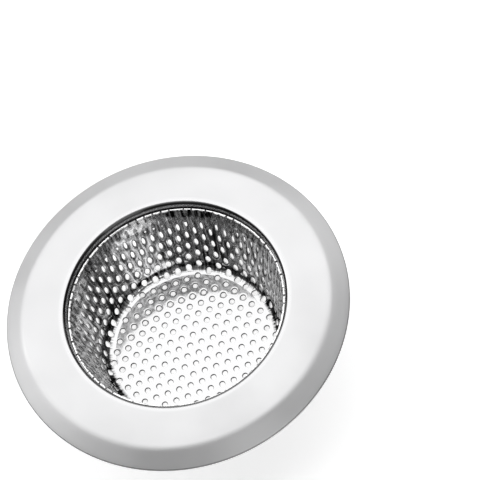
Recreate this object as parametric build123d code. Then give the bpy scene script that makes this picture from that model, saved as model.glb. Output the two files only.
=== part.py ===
from math import acos, asin, atan2, cos, degrees, hypot, pi, radians, sin, sqrt, tan
import os

from build123d import *

# Sink strainer: a pressed flange, a perforated drawn basket and the collar that crimps them together.
# Sizes are in millimetres. The basket stands on its floor at z = 0, and the drain's axis is Z.

# Round sheet is laid out in flats, so that every hole has straight edges
round_flats = 36           # around the axis, with their corners on the true circle
bend_flats = 2             # across each small bend
hole_sides = 4

# Basket
basket_height = 31.2       # underside of the floor to the cut edge
basket_sheet = 0.5
floor_radius = 27.8        # flat part of the floor
floor_bend = 1.9           # inside radius between floor and wall
lip_radius = 35.0          # inside of the wall at the cut edge

# Perforation of the blank that the basket is drawn from
hole_pitch = 4.056
hole_diameter = 2.1
pattern_offset_x = 1.06    # the blank's pattern isn't centred on the axis
pattern_offset_y = 3.62
floor_thinning_share = 0.69    # sheet area kept by the draw, at the foot of the wall
edge_thinning_share = 0.92     # and at the cut edge
edge_closing_share = 0.48      # a hole's width there, beside what the sheet's own squeeze leaves
edge_stretch_share = 1.2       # a hole's length there, beside what the sheet's own stretch gives
draw_steps = 240

# Rim
rim_radius = 56.5
rim_sheet = 0.5
lip_depth = 2.75           # the basket's cut edge below the top of the rim
shoulder_radius = 50.0     # where the flat ring meets the sloping band
shoulder_bend = 2.4
edge_drop = 3.85           # middle of the hem below the top of the rim
hem_width = 4.9            # how far the hem is turned back under the band
hem_slit = 0.1             # daylight between the hem's two layers
throat_bend = 1.4
neck_depth = 9.6           # the neck's cut edge below the top of the rim
neck_clearance = 0.12      # between the basket's wall and the neck

# Crimp collar
collar_sheet = 0.4
collar_height = 6.0
collar_bend = 0.35
upper_lip = 0.15           # straight part of the lip that grips the neck
crimp_clearance = 0.05

# Levels and the lean of the wall, which the neck shares
rim_top = basket_height + lip_depth
bend_centre_height = basket_sheet + floor_bend
wall_rise = basket_height - bend_centre_height
wall_reach = lip_radius - floor_radius
wall_lean = acos(floor_bend / hypot(wall_reach, wall_rise)) - atan2(wall_rise, wall_reach)
wall_length = wall_rise / cos(wall_lean) + floor_bend * tan(wall_lean)
collar_bottom = rim_top - neck_depth - crimp_clearance - collar_sheet
quarter_turn = 90.0
half_turn = 180.0


def wall_face_radius(height, outward):
    """Radius, at a height, of the face that lies outward of the wall's inner face."""
    inner = lip_radius - (basket_height - height) * tan(wall_lean)
    return inner + outward / cos(wall_lean)


def sheet_outline(start, heading, steps, sheet):
    """Outline of bent sheet, walked along its middle. A step is a length, or a (radius, degrees) bend."""
    sides = []
    for aside in (sheet / 2, -sheet / 2):
        turned = heading
        at = Vector(*start) + Vector(0, aside).rotate(Axis.Z, turned)
        side = [at]
        for step in steps:
            runs = [(step, 0)]
            if isinstance(step, tuple):
                radius, turn = step
                half_flat = turn / bend_flats / 2
                inside = aside if turn > 0 else -aside
                chord = 2 * (radius - inside) * sin(radians(abs(half_flat)))
                runs = [(chord, half_flat)] * bend_flats
            for length, half_flat in runs:
                turned += half_flat
                at += Vector(length, 0).rotate(Axis.Z, turned)
                turned += half_flat
                side.append(at)
        sides.append(side)
    left, right = sides
    return left + right[::-1]


def laid_round(outline):
    """Carry an outline drawn as (radius, height) around the drain's axis, in mitred flats."""
    flat_angle = 2 * half_turn / round_flats
    mid_flat_share = cos(pi / round_flats)
    section = make_face(Polyline(*[(point.X * mid_flat_share, point.Y) for point in outline], close=True))
    mitres = [flat_angle * (count + 1 / 2) for count in range(round_flats)]
    corners = [Vector(rim_radius, 0).rotate(Axis.Z, angle) for angle in mitres]
    start = (corners[0] + corners[-1]) / 2
    path = Polyline(start, *corners, start)
    ring = sweep(Plane.XZ * section, path=path, transition=Transition.RIGHT)
    return Rot(0, 0, flat_angle / 2) * ring


def draw_map():
    """Follow the sheet up the wall: radius in the blank, then radius, height and lean of the drawn wall.

    The blank's area inside a point, times the share of area kept, is the drawn area inside it.
    """
    bend_radius = floor_bend + basket_sheet / 2
    bend_turn = pi / 2 - wall_lean
    bend_length = bend_radius * bend_turn
    reach = bend_length + wall_length + hole_pitch
    step = reach / draw_steps
    blank_square = floor_radius ** 2
    rows = []
    for count in range(draw_steps + 1):
        along = count * step
        turned = min(along / bend_radius, bend_turn)
        straight = max(along - bend_length, 0)
        radius = floor_radius + bend_radius * sin(turned) + straight * sin(wall_lean)
        height = basket_sheet / 2 + bend_radius * (1 - cos(turned)) + straight * cos(wall_lean)
        up_share = along / (bend_length + wall_length)
        kept_share = floor_thinning_share + (edge_thinning_share - floor_thinning_share) * up_share
        rows.append((sqrt(blank_square), radius, height, turned, kept_share, up_share))
        blank_square += 2 * kept_share * radius * step
    return rows


def hole_cutter(place, across, along):
    """Polygon prism with the area of the hole, across by along wide, standing square to the sheet."""
    area_share = sqrt(2 * pi / (hole_sides * sin(2 * pi / hole_sides)))
    outline = []
    for corner in range(hole_sides):
        angle = 2 * pi * corner / hole_sides
        outline.append((across / 2 * area_share * sin(angle), along / 2 * area_share * cos(angle)))
    profile = make_face(Polyline(*outline, close=True))
    return extrude(place * profile, basket_sheet * 2, both=True)


def perforation():
    """Cutters for the punched pattern, carried from the flat blank to the drawn basket.

    The holes that lie wholly behind the collar and the neck are left out.
    """
    rows = draw_map()
    blank_radius = rows[-1][0]
    row_pitch = hole_pitch * sqrt(3) / 2
    reach = int(blank_radius / row_pitch) + 2
    cutters = []
    for row in range(-reach, reach + 1):
        for column in range(-2 * reach, 2 * reach + 1):
            x = pattern_offset_x + (column + row / 2) * hole_pitch
            y = pattern_offset_y - row * row_pitch
            from_axis = hypot(x, y)
            if from_axis > blank_radius:
                continue
            outward = Vector(x, y).normalized()
            if from_axis <= floor_radius:
                place = Plane(Vector(x, y, basket_sheet / 2), z_dir=(0, 0, 1))
                cutters.append(hole_cutter(place, hole_diameter, hole_diameter))
                continue
            after = next(index for index, entry in enumerate(rows) if entry[0] >= from_axis)
            blank, radius, height, turned, kept_share, up_share = rows[after]
            spread = radius / blank
            drawn_width = hole_diameter * spread * (1 - (1 - edge_closing_share) * up_share)
            drawn_length = hole_diameter / (kept_share * spread) * (1 + (edge_stretch_share - 1) * up_share)
            if height - drawn_length / 2 > collar_bottom:
                continue
            up = outward * cos(turned) + Vector(0, 0, sin(turned))
            inward = Vector(0, 0, cos(turned)) - outward * sin(turned)
            place = Plane(outward * radius + Vector(0, 0, height), x_dir=up.cross(inward), z_dir=inward)
            cutters.append(hole_cutter(place, drawn_width, drawn_length))
    return cutters


def make_basket():
    """Drawn cup of perforated sheet: flat floor, small bend, straight tapered wall and plain cut edge."""
    bend = (floor_bend + basket_sheet / 2, quarter_turn - degrees(wall_lean))
    floor = extrude(RegularPolygon(floor_radius, round_flats), basket_sheet)
    wall = laid_round(sheet_outline((floor_radius, basket_sheet / 2), 0, [bend, wall_length], basket_sheet))
    return floor + wall - perforation()


def make_rim():
    """Pressed flange, walked from the hem's turned-back edge, over the band and flat, down the neck."""
    middle_height = rim_top - rim_sheet / 2
    fold_radius = (rim_sheet + hem_slit) / 2
    edge_x = rim_radius - fold_radius - rim_sheet / 2
    edge_z = rim_top - edge_drop
    neck_middle = basket_sheet + neck_clearance + rim_sheet / 2

    # The band leaves the shoulder and meets the fold's circle as a tangent
    run = edge_x - shoulder_radius
    fall = middle_height - edge_z
    band_slope = atan2(fall, run) - asin(fold_radius / hypot(run, fall))
    shoulder_tangent = (shoulder_bend + rim_sheet / 2) * tan(band_slope / 2)
    band_run = sqrt(run ** 2 + fall ** 2 - fold_radius ** 2) - shoulder_tangent

    # The throat turns the flat into the neck, which leans as the basket's wall does
    throat_turn = pi / 2 - wall_lean
    throat_radius = throat_bend + rim_sheet / 2
    throat_tangent = throat_radius * tan(throat_turn / 2)
    throat_corner = wall_face_radius(middle_height, neck_middle)
    flat_run = shoulder_radius - shoulder_tangent - throat_corner - throat_tangent
    neck_run = (neck_depth - rim_sheet / 2) / cos(wall_lean) - throat_tangent

    # The hem starts under the band, one fold's width below it
    slope = degrees(band_slope)
    under_fold = Vector(edge_x, edge_z) - Vector(sin(band_slope), cos(band_slope)) * fold_radius
    hem_start = under_fold - Vector(cos(band_slope), -sin(band_slope)) * hem_width
    steps = [
        hem_width,
        (fold_radius, half_turn),
        band_run,
        (shoulder_bend + rim_sheet / 2, slope),
        flat_run,
        (throat_radius, degrees(throat_turn)),
        neck_run,
    ]
    return laid_round(sheet_outline((hem_start.X, hem_start.Y), -slope, steps, rim_sheet))


def make_crimp_collar():
    """C-shaped ring: its upper lip grips the neck, its lower lip is turned in under the neck's cut edge."""
    top = collar_bottom + collar_height
    channel_top = top - collar_sheet
    channel_bottom = collar_bottom + collar_sheet
    upper_start = wall_face_radius(top, basket_sheet + neck_clearance + rim_sheet) + crimp_clearance
    lower_end = wall_face_radius(channel_bottom, basket_sheet) + crimp_clearance
    outside_bend = collar_bend + collar_sheet
    collar_radius = upper_start + upper_lip + outside_bend
    channel_radius = collar_radius - collar_sheet
    blank_radius = collar_radius + collar_sheet

    # The lips and the channel are laid out in flats, as the neck is
    outline = [
        Vector(upper_start, top),
        Vector(blank_radius, top),
        Vector(blank_radius, collar_bottom),
        Vector(lower_end, collar_bottom),
        Vector(lower_end, channel_bottom),
        Vector(channel_radius - collar_bend, channel_bottom),
        Vector(channel_radius, channel_bottom + collar_bend),
        Vector(channel_radius, channel_top - collar_bend),
        Vector(channel_radius - collar_bend, channel_top),
        Vector(upper_start, channel_top),
    ]

    # The outside, which drops into the drain, is true to its circle
    drum = Cylinder(collar_radius, collar_height, align=(Align.CENTER, Align.CENTER, Align.MIN))
    drum = chamfer(drum.edges().filter_by(GeomType.CIRCLE), outside_bend)
    return Pos(0, 0, collar_bottom) * drum & laid_round(outline)


os.makedirs("parts", exist_ok=True)
for node, solid in (("basket", make_basket()), ("rim", make_rim()), ("crimp_collar", make_crimp_collar())):
    export_step(solid, f"parts/{node}.step")
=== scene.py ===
import math

import bmesh
import bpy
import numpy as np
from mathutils import Matrix, Vector


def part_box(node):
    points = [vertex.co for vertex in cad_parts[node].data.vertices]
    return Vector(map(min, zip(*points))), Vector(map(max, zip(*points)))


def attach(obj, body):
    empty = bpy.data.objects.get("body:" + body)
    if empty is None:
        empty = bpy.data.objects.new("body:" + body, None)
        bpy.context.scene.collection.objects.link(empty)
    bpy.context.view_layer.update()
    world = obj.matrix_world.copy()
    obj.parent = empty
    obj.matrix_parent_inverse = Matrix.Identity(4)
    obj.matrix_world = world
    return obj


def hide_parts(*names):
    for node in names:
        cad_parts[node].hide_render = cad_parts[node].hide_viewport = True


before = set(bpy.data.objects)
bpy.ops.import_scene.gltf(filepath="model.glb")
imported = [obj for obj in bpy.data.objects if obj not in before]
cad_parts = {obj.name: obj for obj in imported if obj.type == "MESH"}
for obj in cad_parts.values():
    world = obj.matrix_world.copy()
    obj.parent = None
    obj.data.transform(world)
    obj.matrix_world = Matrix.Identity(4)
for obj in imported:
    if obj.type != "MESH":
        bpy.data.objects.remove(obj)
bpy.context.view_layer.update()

# The rim is one strip of satin stainless sheet, spun round the drain's axis: a neck, a throat bend,
# a wide flat, a soft shoulder, a sloping band, and a hem folded back under the band's outer edge.
# It carries the basket, which is gripped in its neck.
rim_low, rim_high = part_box("rim")
basket_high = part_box("basket")[1]
rim_sheet = 0.0005
shoulder_radius = 0.0500
shoulder_bend = 0.0060
crown_bend = 0.1000
crown_turn = math.radians(5)
edge_drop = 0.00385
hem_width = 0.0049
hem_slit = 0.0001
throat_bend = 0.0014
neck_clearance = 0.00012
floor_radius = 0.0278
floor_bend = 0.0019
basket_sheet = 0.0005
lip_radius = 0.0350
rim_columns = 384
rim_spacing = 0.0015
rim_bend_step = math.radians(6)
rim_cap_points = 8
spun_edge_angle = math.radians(50)
satin_colour = (0.68, 0.68, 0.685, 1.0)
satin_roughness = 0.42
satin_grain_depth = 0.000002
satin_grain_radii = (0.0360, 0.0370)
neck_polish_radii = (0.0370, 0.0385)
# Painted reflections on the satin steel, as colour factors by radius: the neck is painted near black
# with a grey streak, a dark line is painted round the throat bend, and another on the hem's folded outer
# edge. The neck's and the throat's are painted fainter in front.
neck_reflection_stops = ((0.33, 0.6), (0.39, 0.04), (0.48, 0.04), (0.55, 0.8), (0.8, 0.8), (1.0, 1.0))
neck_painted_reflection = ("Radius", 0.0350, 0.0366, 0.6, neck_reflection_stops)
throat_painted_reflection = ("Radius", 0.0361, 0.0371, 0.5, ((0.0, 1.0), (0.20, 0.1), (0.44, 0.1), (0.93, 1.0)))
hem_painted_reflection = ("Radius", 0.0561, 0.0564, 1.0, ((0.0, 1.0), (0.6, 0.45)))


def bent_line(start, heading, steps, spacing, turn_step):
    """Points (radius, height) and headings along a strip's middle.

    A step is a length, or a (radius, angle) bend. On a straight step the point moves on by the
    length along the heading. On a bend of radius r the heading turns by the angle, and the point is
    the bend's centre plus r times the unit vector square to the heading.
    """
    points, headings = [np.array([start])], [np.array([heading])]
    for step in steps:
        at, facing = points[-1][-1], headings[-1][-1]
        if isinstance(step, tuple):
            radius, angle = step
            count = max(2, math.ceil(abs(angle) / turn_step))
            turned = facing + angle * np.arange(1, count + 1) / count
            side = math.copysign(radius, angle)
            centre = at + side * np.array([-math.sin(facing), math.cos(facing)])
            points.append(centre + side * np.stack([np.sin(turned), -np.cos(turned)], 1))
            headings.append(turned)
        else:
            count = max(1, math.ceil(step / spacing))
            along = step * np.arange(1, count + 1) / count
            points.append(at + along[:, None] * np.array([math.cos(facing), math.sin(facing)]))
            headings.append(np.full(count, facing))
    return np.concatenate(points), np.concatenate(headings)


def strip_loop(middle, headings, sheet, cap_points):
    """Closed outline of a strip: both faces half a sheet from its middle, with rounded cut ends.

    A cut end is a squared half circle: along it the aside share is cos(a) and the outward share is
    sin(a), each raised to the power of a half, so that only its two corners are rounded. It reaches as
    far as the strip's last point.
    """
    square = np.stack([-np.sin(headings), np.cos(headings)], 1)
    ahead = np.stack([np.cos(headings), np.sin(headings)], 1)
    angles = np.pi * (np.arange(cap_points) + 0.5) / cap_points
    aside = np.sign(np.cos(angles)) * np.sqrt(np.abs(np.cos(angles))) * sheet / 2
    beyond = (np.sqrt(np.sin(angles)) - 1) * sheet / 2
    last = middle[-1] + aside[:, None] * square[-1] + beyond[:, None] * ahead[-1]
    first = middle[0] - aside[:, None] * square[0] - beyond[:, None] * ahead[0]
    left = (middle + square * sheet / 2)[1:-1]
    right = (middle - square * sheet / 2)[-2:0:-1]
    return np.concatenate([left, last, right, first])


def new_piece(name, points, faces, sharp_angle):
    """Mesh piece from points and four-cornered faces, smooth except across edges over the angle."""
    mesh = bpy.data.meshes.new(name)
    mesh.vertices.add(len(points))
    mesh.vertices.foreach_set("co", points.astype(np.float32).ravel())
    mesh.loops.add(faces.size)
    mesh.loops.foreach_set("vertex_index", faces.astype(np.int32).ravel())
    mesh.polygons.add(len(faces))
    mesh.polygons.foreach_set("loop_start", np.arange(len(faces), dtype=np.int32) * faces.shape[1])
    mesh.update(calc_edges=True)
    mesh.validate()
    mesh.polygons.foreach_set("use_smooth", np.ones(len(mesh.polygons), bool))
    mesh.set_sharp_from_angle(angle=sharp_angle)
    piece = bpy.data.objects.new(name, mesh)
    bpy.context.scene.collection.objects.link(piece)
    return piece


def spun_piece(name, loop, columns, sharp_angle):
    """Closed outline turned about Z: point (r, z) at turn u becomes (r cos u, r sin u, z)."""
    turns = 2 * np.pi * np.arange(columns) / columns
    rows = len(loop)
    x = np.outer(np.cos(turns), loop[:, 0])
    y = np.outer(np.sin(turns), loop[:, 0])
    z = np.broadcast_to(loop[:, 1], x.shape)
    points = np.stack([x, y, z], 2).reshape(-1, 3)
    column, row = np.meshgrid(np.arange(columns), np.arange(rows), indexing="ij")
    next_column, next_row = (column + 1) % columns, (row + 1) % rows
    corners = [column * rows + row, column * rows + next_row]
    corners += [next_column * rows + next_row, next_column * rows + row]
    return new_piece(name, points, np.stack(corners, 2).reshape(-1, 4), sharp_angle)


rim_top = rim_high.z
middle_height = rim_top - rim_sheet / 2
wall_rise = basket_high.z - basket_sheet - floor_bend
wall_reach = lip_radius - floor_radius
wall_lean = math.acos(floor_bend / math.hypot(wall_reach, wall_rise))
wall_lean -= math.atan2(wall_rise, wall_reach)


def wall_face_radius(height, outward):
    """Radius at a height of the face that lies outward of the basket wall's inner face."""
    inner = lip_radius - (basket_high.z - height) * math.tan(wall_lean)
    return inner + outward / math.cos(wall_lean)


fold_radius = (rim_sheet + hem_slit) / 2
edge_x = rim_high.x - fold_radius - rim_sheet / 2
edge_z = rim_top - edge_drop
crown_rise = crown_bend * (1 - math.cos(crown_turn))
run, fall = edge_x - shoulder_radius, middle_height - crown_rise - edge_z
band_slope = math.atan2(fall, run) - math.asin(fold_radius / math.hypot(run, fall))
shoulder_rise = shoulder_bend * (math.cos(crown_turn) - math.cos(band_slope))
band_run = (fall - fold_radius * math.cos(band_slope) - shoulder_rise) / math.sin(band_slope)
throat_turn = math.pi / 2 - wall_lean
throat_radius = throat_bend + rim_sheet / 2
throat_tangent = throat_radius * math.tan(throat_turn / 2)
throat_corner = wall_face_radius(middle_height, basket_sheet + neck_clearance + rim_sheet / 2)
crown_reach = crown_bend * math.sin(crown_turn)
shoulder_reach = shoulder_bend * (math.sin(band_slope) - math.sin(crown_turn))
band_top = edge_x + fold_radius * math.sin(band_slope) - band_run * math.cos(band_slope)
flat_run = band_top - shoulder_reach - crown_reach - throat_corner - throat_tangent
neck_run = (middle_height - rim_low.z) / math.cos(wall_lean) - throat_tangent
along_band = np.array([math.cos(band_slope), -math.sin(band_slope)])
square_to_band = np.array([math.sin(band_slope), math.cos(band_slope)])
under_fold = np.array([edge_x, edge_z]) - fold_radius * square_to_band
rim_middle, rim_headings = bent_line(
    under_fold - along_band * hem_width,
    -band_slope,
    [
        hem_width,
        (fold_radius, math.pi),
        band_run,
        (shoulder_bend, band_slope - crown_turn),
        (crown_bend, crown_turn),
        flat_run,
        (throat_radius, throat_turn),
        neck_run,
    ],
    rim_spacing,
    rim_bend_step,
)
rim_loop = strip_loop(rim_middle, rim_headings, rim_sheet, rim_cap_points)
rim = spun_piece("rim_flange", rim_loop, rim_columns, spun_edge_angle)
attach(rim, "root")
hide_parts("rim")


def started_group(name, labels):
    """A shader node group with an output for each label, and its output node."""
    group = bpy.data.node_groups.new(name, "ShaderNodeTree")
    for label in labels:
        group.interface.new_socket(label, in_out="OUTPUT", socket_type="NodeSocketFloat")
    return group, group.nodes.new("NodeGroupOutput")


def placed_group(tree, group):
    """A node in a tree that holds a node group."""
    node = tree.nodes.new("ShaderNodeGroup")
    node.node_tree = group
    return node


def math_node(tree, operation, *values):
    """Output of a Math node. A value is a number or another node's output."""
    node = tree.nodes.new("ShaderNodeMath")
    node.operation = operation
    for socket, value in zip(node.inputs, values):
        if isinstance(value, (int, float)):
            socket.default_value = value
        else:
            tree.links.new(value, socket)
    return node.outputs[0]


def ranged(tree, value, low, high, to_low, to_high, kind="LINEAR"):
    """Output of a node that carries the range from low to high over to another one, and stops there."""
    node = tree.nodes.new("ShaderNodeMapRange")
    node.interpolation_type = kind
    ends = (("From Min", low), ("From Max", high), ("To Min", to_low), ("To Max", to_high))
    for label, number in ends:
        node.inputs[label].default_value = number
    tree.links.new(value, node.inputs["Value"])
    return node.outputs[0]


def noise_node(tree, place, scale, detail, roughness):
    """Output of a noise texture that is read at a place."""
    noise = tree.nodes.new("ShaderNodeTexNoise")
    for label, number in (("Scale", scale), ("Detail", detail), ("Roughness", roughness)):
        noise.inputs[label].default_value = number
    tree.links.new(place, noise.inputs["Vector"])
    return noise.outputs["Fac"]


def bump_node(tree, height):
    """A bump node whose height is in metres."""
    bump = tree.nodes.new("ShaderNodeBump")
    bump.inputs["Distance"].default_value = 1.0
    tree.links.new(height, bump.inputs["Height"])
    return bump


def polar_grain_group():
    """Where a point lies round the axis, and the fine lines of spun and of drawn sheet.

    Radius is the root of x squared plus y squared, Height is z, Turn is the angle round the axis as a
    share of a full turn, and Behind is y over the radius, from -1 in front to 1 at the back. The round
    lines are noise on the radius plus the height, with only a slow change with the angle. The upright
    lines are noise on the angle, with only a slow change with the height.
    """
    round_fineness, round_drift, round_detail = 6000.0, 5.0, 2.0
    upright_fineness, upright_drift, upright_detail = 42.0, 150.0, 1.5
    noise_roughness = 0.4
    labels = ("Round lines", "Upright lines", "Radius", "Height", "Turn", "Behind")
    group, outputs = started_group("polar_grain", labels)
    split = group.nodes.new("ShaderNodeSeparateXYZ")
    group.links.new(group.nodes.new("ShaderNodeTexCoord").outputs["Object"], split.inputs[0])

    def worked(operation, *values):
        return math_node(group, operation, *values)

    def lines_on(places, detail):
        combine = group.nodes.new("ShaderNodeCombineXYZ")
        for socket, value in zip(combine.inputs, places):
            group.links.new(value, socket)
        return noise_node(group, combine.outputs[0], 1.0, detail, noise_roughness)

    x, y, z = split.outputs
    radius = worked("SQRT", worked("ADD", worked("MULTIPLY", x, x), worked("MULTIPLY", y, y)))
    direction = [worked("DIVIDE", x, radius), worked("DIVIDE", y, radius)]
    round_places = [worked("MULTIPLY", worked("ADD", radius, z), round_fineness)]
    round_places += [worked("MULTIPLY", share, round_drift) for share in direction]
    upright_places = [worked("MULTIPLY", share, upright_fineness) for share in direction]
    upright_places += [worked("MULTIPLY", z, upright_drift)]
    turn = worked("FRACT", worked("DIVIDE", worked("ARCTAN2", y, x), 2 * math.pi))
    round_lines = lines_on(round_places, round_detail)
    upright_lines = lines_on(upright_places, upright_detail)
    for label, value in zip(labels, (round_lines, upright_lines, radius, z, turn, direction[1])):
        group.links.new(value, outputs.inputs[label])
    return group


def handling_group():
    """Marks of making and use, each a mask: broad smears of polish, and dents a few mm wide."""
    kinds = (("Smears", 45.0, 4.0), ("Dents", 260.0, 0.5))
    noise_roughness = 0.5
    group, outputs = started_group("handling_marks", [label for label, scale, detail in kinds])
    place = group.nodes.new("ShaderNodeTexCoord").outputs["Object"]
    for label, scale, detail in kinds:
        group.links.new(noise_node(group, place, scale, detail, noise_roughness), outputs.inputs[label])
    return group


polar_grain = polar_grain_group()
handling_marks = handling_group()


def steel_material(name, colour, roughness, grain, depths, grain_radii, polish_radii, shades):
    """Bare stainless steel.

    The bump's height is the grain and the dents, each times its depth, faded in between the two grain
    radii. Roughness wanders with the smears, and falls to the polished share inside the polish radii.
    A shade paints light or shade into the colour. It is an output of the polar group, the range that it
    is read over, the share of it that is left in front, and stops of (place in the range, factor). The
    colour is multiplied by each shade.
    """
    smear_range, roughness_wander, smear_tint = (0.3, 0.7), 0.15, 0.97
    polished_share = 0.3
    front_range = (-0.75, -0.25)
    material = bpy.data.materials.new(name)
    material.use_nodes = True
    tree = material.node_tree
    shader = tree.nodes["Principled BSDF"]
    shader.inputs["Metallic"].default_value = 1.0
    lines = placed_group(tree, polar_grain)
    masks = placed_group(tree, handling_marks)

    smooth, rough = roughness * (1 - roughness_wander), roughness * (1 + roughness_wander)
    wander = ranged(tree, masks.outputs["Smears"], *smear_range, smooth, rough)
    polish = ranged(tree, lines.outputs["Radius"], *polish_radii, polished_share, 1.0)
    tree.links.new(math_node(tree, "MULTIPLY", wander, polish), shader.inputs["Roughness"])

    tint = tree.nodes.new("ShaderNodeMix")
    tint.data_type = "RGBA"
    tint.inputs["A"].default_value = tuple(part * smear_tint for part in colour[:3]) + (1.0,)
    tint.inputs["B"].default_value = colour
    tree.links.new(masks.outputs["Smears"], tint.inputs["Factor"])
    shaded = tint.outputs["Result"]
    for label, low, high, front_share, stops in shades:
        ramp = tree.nodes.new("ShaderNodeValToRGB")
        ramp.color_ramp.interpolation = "EASE"
        elements = ramp.color_ramp.elements
        while len(elements) < len(stops):
            elements.new(1.0)
        for element, (place, factor) in zip(elements, stops):
            element.position = place
        for element, (place, factor) in zip(elements, stops):
            element.color = (factor, factor, factor, 1.0)
        tree.links.new(ranged(tree, lines.outputs[label], low, high, 0.0, 1.0), ramp.inputs["Fac"])
        darker = tree.nodes.new("ShaderNodeMix")
        darker.data_type = "RGBA"
        darker.blend_type = "MULTIPLY"
        darker.inputs["Factor"].default_value = 1.0
        if front_share < 1:
            left_in_front = ranged(tree, lines.outputs["Behind"], *front_range, front_share, 1.0)
            tree.links.new(left_in_front, darker.inputs["Factor"])
        tree.links.new(shaded, darker.inputs["A"])
        tree.links.new(ramp.outputs["Color"], darker.inputs["B"])
        shaded = darker.outputs["Result"]
    tree.links.new(shaded, shader.inputs["Base Color"])

    grain_depth, dent_depth = depths
    relief = math_node(tree, "MULTIPLY", lines.outputs[grain], grain_depth)
    relief = math_node(tree, "MULTIPLY_ADD", masks.outputs["Dents"], dent_depth, relief)
    shown = ranged(tree, lines.outputs["Radius"], *grain_radii, 0.0, 1.0)
    bump = bump_node(tree, math_node(tree, "MULTIPLY", relief, shown))
    tree.links.new(bump.outputs["Normal"], shader.inputs["Normal"])
    return material


rim.data.materials.append(
    steel_material(
        "satin_steel",
        satin_colour,
        satin_roughness,
        "Round lines",
        (satin_grain_depth, 0.0),
        satin_grain_radii,
        neck_polish_radii,
        [neck_painted_reflection, throat_painted_reflection, hem_painted_reflection],
    )
)

# The basket is a disc of punched stainless sheet, drawn into a tapered cup: a flat floor, a small bend
# and a straight wall, cut off straight through the punched holes. Drawing stretches the sheet up the
# wall and gathers it round the axis, so the round holes become upright ovals there.
hole_pitch = 0.004056
hole_radius = 0.00105
pattern_offset = np.array([0.00106, 0.00362])
floor_thinning_share = 0.69
edge_thinning_share = 0.92
edge_closing_share = 0.48
edge_stretch_share = 1.2
hole_corners = 18
rolled_width = 0.00016
rolled_shares = np.array([0.05, 0.0, 0.0, 0.0])
dimple_shares = np.array([0.24, 0.12, 0.04, 0.0])
punch_taper = 0.00020
edge_slant = 0.25
lattice_margin = 1.2
border_margin = 0.6
axis_guard = 1e-9
draw_steps = 2000
pitches_past_edge = 3.0
foot_fade = 8.0
dimple_start = 0.1
sheet_colour = (0.69, 0.69, 0.695, 1.0)
sheared_colour = (0.65, 0.65, 0.65, 1.0)
basket_edge_angle = math.radians(45)


def draw_table(steps):
    """The drawn cup beside its blank: blank radius, then radius, height, turn and way up of the sheet.

    Up the bend the turn grows with the length, then the wall is straight. The blank's radius squared
    grows by twice the kept share times the cup's radius times the length. The table goes on past the
    cut edge by a few pitches, so that the holes there are whole before the cut.
    """
    bend_radius = floor_bend + basket_sheet / 2
    bend_turn = math.pi / 2 - wall_lean
    bend_length = bend_radius * bend_turn
    wall_length = wall_rise / math.cos(wall_lean) + floor_bend * math.tan(wall_lean)
    along = np.linspace(0, bend_length + wall_length + pitches_past_edge * hole_pitch, steps)
    turned = np.minimum(along / bend_radius, bend_turn)
    straight = np.maximum(along - bend_length, 0)
    radius = floor_radius + bend_radius * np.sin(turned) + straight * math.sin(wall_lean)
    height = basket_sheet / 2 + bend_radius * (1 - np.cos(turned)) + straight * math.cos(wall_lean)
    up_share = along / (bend_length + wall_length)
    kept_share = floor_thinning_share + (edge_thinning_share - floor_thinning_share) * up_share
    growth = 2 * kept_share * radius * (along[1] - along[0])
    blank = np.sqrt(floor_radius ** 2 + np.concatenate([[0], np.cumsum(growth[:-1])]))
    return blank, radius, height, turned, up_share


def drawn(flat, offset, table):
    """Places of blank points on the drawn cup, each pushed off the sheet's middle by its offset.

    Inside the floor's radius a point stays where it is. Outside it, its direction from the axis is
    kept and its radius and height come from the table.
    """
    blank, radius, height, turned = table[:4]
    from_axis = np.hypot(flat[:, 0], flat[:, 1])
    outward = flat / np.maximum(from_axis, axis_guard)[:, None]
    on_floor = from_axis < floor_radius
    at_radius = np.where(on_floor, from_axis, np.interp(from_axis, blank, radius))
    at_height = np.where(on_floor, basket_sheet / 2, np.interp(from_axis, blank, height))
    lean = np.where(on_floor, 0.0, np.interp(from_axis, blank, turned))
    at_radius = at_radius - np.sin(lean) * offset
    at_height = at_height + np.cos(lean) * offset
    return np.concatenate([outward * at_radius[:, None], at_height[:, None]], 1)


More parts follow.
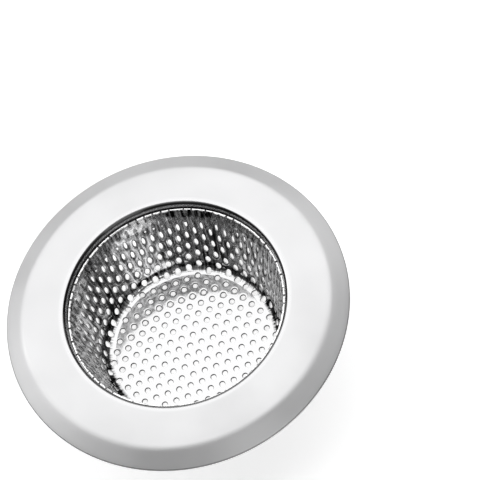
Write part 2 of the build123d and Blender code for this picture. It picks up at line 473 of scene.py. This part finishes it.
def punched_cells(table):
    """One ring of faces round each hole of the lattice, out to its six-sided cell, on both faces.

    Round a hole's centre the rings are the hole's edge, the end of its rolled lip, a middle ring and
    the cell's border, which lies at half the pitch over the cosine of the angle from the nearest
    neighbour's direction. Up the wall the draw closes a hole and stretches it: the part of its edge's
    offset that points away from the axis grows, and the part across it shrinks. It also dimples the
    sheet round the hole. On the floor a hole narrows downwards. The last thing given back says which
    faces are a hole's sheared side.
    """
    blank_reach = table[0][-1]
    count = math.ceil(blank_reach / hole_pitch * lattice_margin) + 1
    column, row = np.meshgrid(np.arange(-count, count + 1), np.arange(-count, count + 1))
    x = (column + row / 2) * hole_pitch + pattern_offset[0]
    y = pattern_offset[1] - row * hole_pitch * math.sqrt(3) / 2
    centres = np.stack([x.ravel(), y.ravel()], 1)
    whole = np.hypot(centres[:, 0], centres[:, 1]) < blank_reach - border_margin * hole_pitch
    centres = centres[whole]
    from_axis = np.hypot(centres[:, 0], centres[:, 1])
    outward = (centres / np.maximum(from_axis, axis_guard)[:, None])[:, None]
    up_share = np.interp(from_axis, table[0], table[4])[:, None, None]

    angles = 2 * np.pi * (np.arange(hole_corners) + 0.5) / hole_corners
    circle = np.stack([np.cos(angles), np.sin(angles)], 1)[None]
    along = (circle * outward).sum(2, keepdims=True) * outward
    oval = along * (1 + (edge_stretch_share - 1) * up_share)
    oval = oval + (circle - along) * (1 - (1 - edge_closing_share) * up_share)
    sixth = np.pi / 3
    reach = hole_pitch / 2 / np.cos((angles + sixth / 2) % sixth - sixth / 2)
    border = np.broadcast_to(reach[None, :, None] * circle, oval.shape)
    lip = oval * (hole_radius + rolled_width)
    rings = np.stack([oval * hole_radius, lip, (lip + border) / 2, border], 1)

    inner = centres[:, None, None] + rings
    under = inner.copy()
    under[:, 0] -= circle * punch_taper * np.clip(1 - up_share * foot_fade, 0, 1)
    ring_count = rings.shape[1]
    flat = np.concatenate([inner, under], 1).reshape(-1, 2)
    dimpled = dimple_shares * np.clip((up_share[:, 0] - dimple_start) * foot_fade, 0, 1)
    inner_offset = basket_sheet * (0.5 - rolled_shares - dimpled)
    outer_offset = basket_sheet * (-0.5 - dimpled)
    offset = np.repeat(np.concatenate([inner_offset, outer_offset], 1).ravel(), hole_corners)

    corner = np.arange(hole_corners)
    after = (corner + 1) % hole_corners
    quads = []
    for ring in range(ring_count - 1):
        low, high = ring * hole_corners, (ring + 1) * hole_corners
        quads.append(np.stack([low + corner, high + corner, high + after, low + after], 1))
        low, high = low + ring_count * hole_corners, high + ring_count * hole_corners
        quads.append(np.stack([low + after, high + after, high + corner, low + corner], 1))
    below = ring_count * hole_corners
    quads.append(np.stack([corner, after, below + after, below + corner], 1))
    cell_quads = np.concatenate(quads)
    starts = np.arange(len(centres)) * 2 * ring_count * hole_corners
    faces = (starts[:, None, None] + cell_quads).reshape(-1, 4)

    same_place = 1e-7
    keys = np.round(np.column_stack([flat, offset]) / same_place).astype(np.int64)
    _, first, same = np.unique(keys, axis=0, return_index=True, return_inverse=True)
    sheared = np.tile(np.arange(len(cell_quads)) >= len(cell_quads) - hole_corners, len(centres))
    return flat[first], offset[first], same.ravel()[faces], sheared


cup = draw_table(draw_steps)
flat, offset, faces, sheared = punched_cells(cup)
basket = new_piece("perforated_basket", drawn(flat, offset, cup), faces, basket_edge_angle)
basket.data.polygons.foreach_set("material_index", sheared.astype(np.int32))


def cut_edge(piece, height, outer_radius, slant, sharp_angle):
    """Cut a closed shell off at a height and close each cut with a face that slants in and down.

    A point of the cut drops by the slant times its distance inward of the outer radius.
    """
    at_cut = 1e-6
    shell = bmesh.new()
    shell.from_mesh(piece.data)
    parts = shell.verts[:] + shell.edges[:] + shell.faces[:]
    level = {"plane_co": (0, 0, height), "plane_no": (0, 0, 1)}
    bmesh.ops.bisect_plane(shell, geom=parts, clear_outer=True, **level)
    bmesh.ops.holes_fill(shell, edges=[edge for edge in shell.edges if edge.is_boundary], sides=0)
    bmesh.ops.recalc_face_normals(shell, faces=shell.faces[:])
    shell.to_mesh(piece.data)
    shell.free()
    places = np.empty(len(piece.data.vertices) * 3, np.float32)
    piece.data.vertices.foreach_get("co", places)
    places = places.reshape(-1, 3)
    inward = np.maximum(outer_radius - np.hypot(places[:, 0], places[:, 1]), 0)
    places[:, 2] -= np.where(np.abs(places[:, 2] - height) < at_cut, slant * inward, 0)
    piece.data.vertices.foreach_set("co", places.ravel())
    piece.data.update()
    piece.data.set_sharp_from_angle(angle=sharp_angle)


basket_outside = wall_face_radius(basket_high.z, basket_sheet)
cut_edge(basket, basket_high.z, basket_outside, edge_slant, basket_edge_angle)
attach(basket, "root")
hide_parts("basket")


def wall_painted_light_group(highlight_patches, shade_patches):
    """Masks inside the wall: where it is, patches of painted highlight and of painted shade, and painted
    streaks.

    Inside is 1 where the radius less the height times the wall's slope is below that of the sheet's
    middle, and 0 on the floor and outside. The others are 0 where it is.
    A patch is (turn in degrees, height, half turn, half height, strength), sizes in millimetres. It
    is full well inside its ellipse on the unrolled wall and fades out across the ellipse's edge,
    which the dents make ragged. A streak is the upright lines stretched to run from -1 to 1, painted as
    lighter and darker upright reflections.
    """
    middle_shares = (0.4, 0.6)
    floor_end = (floor_radius - 0.0002, floor_radius + 0.0008)
    streak_range = (0.35, 0.65)
    patch_fade = (0.6, 1.3)
    full_turn, millimetres = 360, 1000
    group, outputs = started_group("wall_painted_light", ("Inside", "Highlight patches", "Shade patches", "Streaks"))
    lines = placed_group(group, polar_grain)
    masks = placed_group(group, handling_marks)

    def worked(operation, *values):
        return math_node(group, operation, *values)

    slope = math.tan(wall_lean)
    foot = lip_radius - basket_high.z * slope
    level = worked("MULTIPLY_ADD", lines.outputs["Height"], -slope, lines.outputs["Radius"])
    middle = [foot + share * basket_sheet for share in middle_shares]
    within = ranged(group, level, *middle, 1.0, 0.0)
    off_floor = ranged(group, lines.outputs["Radius"], *floor_end, 0.0, 1.0)
    inside = worked("MULTIPLY", within, off_floor)
    group.links.new(inside, outputs.inputs["Inside"])
    streaks = ranged(group, lines.outputs["Upright lines"], *streak_range, -1.0, 1.0)
    group.links.new(worked("MULTIPLY", streaks, inside), outputs.inputs["Streaks"])
    ragged = worked("SUBTRACT", masks.outputs["Dents"], 0.5)
    for label, places in (("Highlight patches", highlight_patches), ("Shade patches", shade_patches)):
        strongest = 0.0
        for turn, height, half_turn, half_height, strength in places:
            aside = worked("SUBTRACT", lines.outputs["Turn"], turn / full_turn)
            aside = worked("WRAP", aside, 0.5, -0.5)
            above = worked("SUBTRACT", lines.outputs["Height"], height / millimetres)
            offset = group.nodes.new("ShaderNodeCombineXYZ")
            group.links.new(worked("DIVIDE", aside, half_turn / full_turn), offset.inputs[0])
            group.links.new(worked("DIVIDE", above, half_height / millimetres), offset.inputs[1])
            reach = group.nodes.new("ShaderNodeVectorMath")
            reach.operation = "LENGTH"
            group.links.new(offset.outputs[0], reach.inputs[0])
            spread = worked("ADD", reach.outputs["Value"], ragged)
            patch = ranged(group, spread, *patch_fade, strength, 0.0, "SMOOTHSTEP")
            strongest = worked("MAXIMUM", strongest, patch)
        group.links.new(worked("MULTIPLY", strongest, inside), outputs.inputs[label])
    return group


# Patches on the inside of the wall: the first list is painted highlights, the second painted shade.
wall_painted_light = wall_painted_light_group(
    highlight_patches=(
        (97, 28.4, 10, 2.6, 1.0),
        (108, 25.0, 9, 3.0, 0.5),
        (147, 28.2, 9, 2.8, 1.0),
        (96, 4.8, 13, 1.4, 0.4),
    ),
    shade_patches=(
        (66, 29.4, 19, 2.2, 0.9),
        (141, 11.0, 17, 13.0, 0.6),
        (57, 12.0, 13, 12.0, 0.6),
        (125, 2.6, 45, 1.0, 1.0),
        (65, 2.6, 25, 1.0, 1.0),
        (0, 14.0, 34, 18.0, 0.85),
        (190, 14.0, 26, 18.0, 0.9),
        (212, 6.0, 20, 9.0, 0.8),
    ),
)
# Parts of the wall's painted light and shade: the inside is painted darker, the highlight patches
# lighter, the streaks lighter and darker, and the shade patches darker. The highlight patches are also
# made rougher.
highlight_roughness = 0.10
inside_painted_shade = -0.30
painted_highlight_part = 1.7
painted_shade_part = -0.56
painted_streak_part = 0.44
outside_bump = 0.35
floor_edge_width = 0.0012
floor_edge_lift = 0.00024
sheet_roughness = 0.09
sheared_roughness = 0.45
sheet_grain_depth = 0.00003
sheet_dent_depth = 0.00015
wall_radii = (0.028, 0.030)
unpolished_radii = (0.0, 0.0001)
# Painted shade and highlight on the drawn sheet, as colour factors: the wall is painted darker than the
# floor and darker still towards its top, its cut edge is painted as a bright highlight, and the holes'
# sheared sides are painted dark on the floor.
wall_painted_shade = ("Radius", 0.0275, 0.0295, 1.0, ((0.0, 1.0), (1.0, 0.78)))
wall_top_shade_and_edge_highlight = ("Height", 0.0260, 0.0316, 1.0, ((0.0, 1.0), (0.25, 0.9), (0.89, 0.8), (0.90, 2.6)))
floor_hole_painted_shade = ("Radius", 0.0275, 0.0295, 1.0, ((0.0, 0.16), (1.0, 1.0)))


def add_wall_painted_light(material):
    """Painted highlight patches lighten the steel and make it rougher, painted shade darkens it, and the
    floor's edge is slightly dished.

    Roughness gains the highlight patches times their part. Colour is scaled by one plus the inside's
    painted shade, the painted highlights, the painted streaks and the painted shade patches, each times
    its part. The grain and dents are fainter outside. The dish is a bump that rises evenly over the
    floor's last millimetre.
    """
    tree = material.node_tree
    shader = tree.nodes["Principled BSDF"]
    masks = placed_group(tree, wall_painted_light)
    lines = placed_group(tree, polar_grain)

    even = shader.inputs["Roughness"].links[0].from_socket
    scuffed = math_node(tree, "MULTIPLY_ADD", masks.outputs["Highlight patches"], highlight_roughness, even)
    tree.links.new(scuffed, shader.inputs["Roughness"])
    parts = (
        ("Inside", inside_painted_shade),
        ("Highlight patches", painted_highlight_part),
        ("Streaks", painted_streak_part),
        ("Shade patches", painted_shade_part),
    )
    shade = 1.0
    for label, part in parts:
        shade = math_node(tree, "MULTIPLY_ADD", masks.outputs[label], part, shade)
    scaled = tree.nodes.new("ShaderNodeVectorMath")
    scaled.operation = "SCALE"
    tree.links.new(shader.inputs["Base Color"].links[0].from_socket, scaled.inputs[0])
    tree.links.new(shade, scaled.inputs["Scale"])
    tree.links.new(scaled.outputs[0], shader.inputs["Base Color"])

    grain = shader.inputs["Normal"].links[0].from_node
    relief = grain.inputs["Height"].links[0].from_socket
    kept = math_node(tree, "MULTIPLY_ADD", masks.outputs["Inside"], 1.0 - outside_bump, outside_bump)
    tree.links.new(math_node(tree, "MULTIPLY", relief, kept), grain.inputs["Height"])
    edge_start = floor_radius - floor_edge_width
    rise = ranged(tree, lines.outputs["Radius"], edge_start, floor_radius, 0.0, floor_edge_lift)
    dish = bump_node(tree, rise)
    tree.links.new(grain.outputs["Normal"], dish.inputs["Normal"])
    tree.links.new(dish.outputs["Normal"], shader.inputs["Normal"])


bright_sheet = steel_material(
    "bright_drawn_steel",
    sheet_colour,
    sheet_roughness,
    "Upright lines",
    (sheet_grain_depth, sheet_dent_depth),
    wall_radii,
    unpolished_radii,
    [wall_painted_shade, wall_top_shade_and_edge_highlight],
)
add_wall_painted_light(bright_sheet)
basket.data.materials.append(bright_sheet)
basket.data.materials.append(
    steel_material(
        "sheared_steel",
        sheared_colour,
        sheared_roughness,
        "Upright lines",
        (0.0, 0.0),
        wall_radii,
        unpolished_radii,
        [floor_hole_painted_shade],
    )
)

# The collar is a narrow band of polished stainless sheet, rolled over the neck: its upper lip grips the
# neck from outside and its lower lip is turned in under the neck's cut edge, which locks the basket in.
collar_low, collar_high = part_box("crimp_collar")
collar_sheet = 0.0004
collar_bend = 0.00035
upper_lip = 0.00015
crimp_clearance = 0.00005
collar_columns = 320
collar_spacing = 0.0010
collar_bend_step = math.radians(9)
collar_cap_points = 6
polished_colour = (0.66, 0.66, 0.67, 1.0)
polished_roughness = 0.10
polished_grain_depth = 0.000001
collar_grain_radii = (0.030, 0.031)

collar_middle_bend = collar_bend + collar_sheet / 2
collar_top, collar_bottom = collar_high.z, collar_low.z
neck_outside = basket_sheet + neck_clearance + rim_sheet
upper_start = wall_face_radius(collar_top, neck_outside) + crimp_clearance
lower_end = wall_face_radius(collar_bottom + collar_sheet, basket_sheet) + crimp_clearance
band_middle = upper_start + upper_lip + collar_middle_bend
collar_line, collar_headings = bent_line(
    (upper_start, collar_top - collar_sheet / 2),
    0.0,
    [
        upper_lip,
        (collar_middle_bend, -math.pi / 2),
        collar_top - collar_bottom - collar_sheet - 2 * collar_middle_bend,
        (collar_middle_bend, -math.pi / 2),
        band_middle - collar_middle_bend - lower_end,
    ],
    collar_spacing,
    collar_bend_step,
)
collar_loop = strip_loop(collar_line, collar_headings, collar_sheet, collar_cap_points)[::-1]
collar = spun_piece("crimp_collar_band", collar_loop, collar_columns, spun_edge_angle)
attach(collar, "root")
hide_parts("crimp_collar")
collar.data.materials.append(
    steel_material(
        "polished_steel",
        polished_colour,
        polished_roughness,
        "Round lines",
        (polished_grain_depth, 0.0),
        collar_grain_radii,
        unpolished_radii,
        [],
    )
)

# The floor is a wide pale sheet under the strainer. To the eye and in the steel it is white where the
# light reaches it, and it keeps the strainer's shadow.
floor_reach = 6.0
floor_corners = 96
floor_colour = (0.88, 0.88, 0.88, 1.0)
floor_roughness = 0.9
floor_specular = 0.1
floor_glow = 0.52

bpy.ops.mesh.primitive_circle_add(vertices=floor_corners, radius=floor_reach, fill_type="NGON")
ground = bpy.context.object
ground.name = "pale_floor"
paper = bpy.data.materials.new("pale_paper")
paper.use_nodes = True
paper_tree = paper.node_tree
shader = paper_tree.nodes["Principled BSDF"]
shader.inputs["Base Color"].default_value = floor_colour
shader.inputs["Roughness"].default_value = floor_roughness
shader.inputs["Specular IOR Level"].default_value = floor_specular
shader.inputs["Emission Color"].default_value = (1.0, 1.0, 1.0, 1.0)
path = paper_tree.nodes.new("ShaderNodeLightPath")
seen = math_node(paper_tree, "ADD", path.outputs["Is Camera Ray"], path.outputs["Is Glossy Ray"])
seen = math_node(paper_tree, "ADD", seen, path.outputs["Is Transmission Ray"])
glow = math_node(paper_tree, "MULTIPLY", seen, floor_glow)
paper_tree.links.new(glow, shader.inputs["Emission Strength"])
ground.data.materials.append(paper)

# The light is a plain studio: a wide soft panel overhead with a dimmer one in front of it, a small card
# in front that lights the back of the wall, a long low panel behind, a small one at each side, and a dim
# room round them.
room_grey = (0.07, 0.07, 0.07, 1.0)
panels = (
    ("overhead_panel", (-0.35, 1.14, 1.30), (-0.35, 1.14, 0.0), (3.4, 2.52), 37.5),
    ("front_panel", (0.0, -0.78, 1.30), (0.0, -0.78, 0.0), (3.2, 1.3), 3.3),
    ("front_card", (0.34, -1.10, 0.96), (0.0, 0.0, 0.03), (0.75, 0.5), 2.4),
    ("back_panel", (0.0, 2.90, 0.75), (0.0, 0.0, 0.03), (5.5, 1.3), 10.5),
    ("right_panel", (1.45, 1.00, 0.85), (0.0, 0.0, 0.03), (1.1, 0.9), 2.4),
    ("left_panel", (-1.50, 0.85, 0.85), (0.0, 0.0, 0.03), (1.1, 1.0), 2.2),
)
world = bpy.data.worlds.new("studio_room")
world.use_nodes = True
world.node_tree.nodes["Background"].inputs["Color"].default_value = room_grey
world.node_tree.nodes["Background"].inputs["Strength"].default_value = 1.0
bpy.context.scene.world = world
for name, place, aim, size, power in panels:
    lamp = bpy.data.lights.new(name, "AREA")
    lamp.shape = "RECTANGLE"
    lamp.size, lamp.size_y = size
    lamp.energy = power
    holder = bpy.data.objects.new(name, lamp)
    direction = Vector(aim) - Vector(place)
    holder.location = place
    holder.rotation_euler = direction.to_track_quat("-Z", "Y").to_euler()
    bpy.context.scene.collection.objects.link(holder)

# The camera looks down into the basket from the front, as the photograph does.
camera_right = (0.9416, -0.2966, -0.1595)
camera_up = (0.3367, 0.8174, 0.4674)
camera_back = (-0.0082, -0.4938, 0.8695)
camera_place = (0.0219, -0.2739, 0.5393)
lens_length = 134.0
sensor_width = 36.0
nearest, farthest = 0.01, 50.0

view = bpy.data.cameras.new("front_camera")
view.lens = lens_length
view.sensor_width = sensor_width
view.clip_start, view.clip_end = nearest, farthest
camera = bpy.data.objects.new("front_camera", view)
axes = Matrix((camera_right, camera_up, camera_back)).transposed().to_4x4()
camera.matrix_world = Matrix.Translation(camera_place) @ axes
bpy.context.scene.collection.objects.link(camera)
bpy.context.scene.camera = camera
bpy.context.scene.view_settings.view_transform = "Standard"
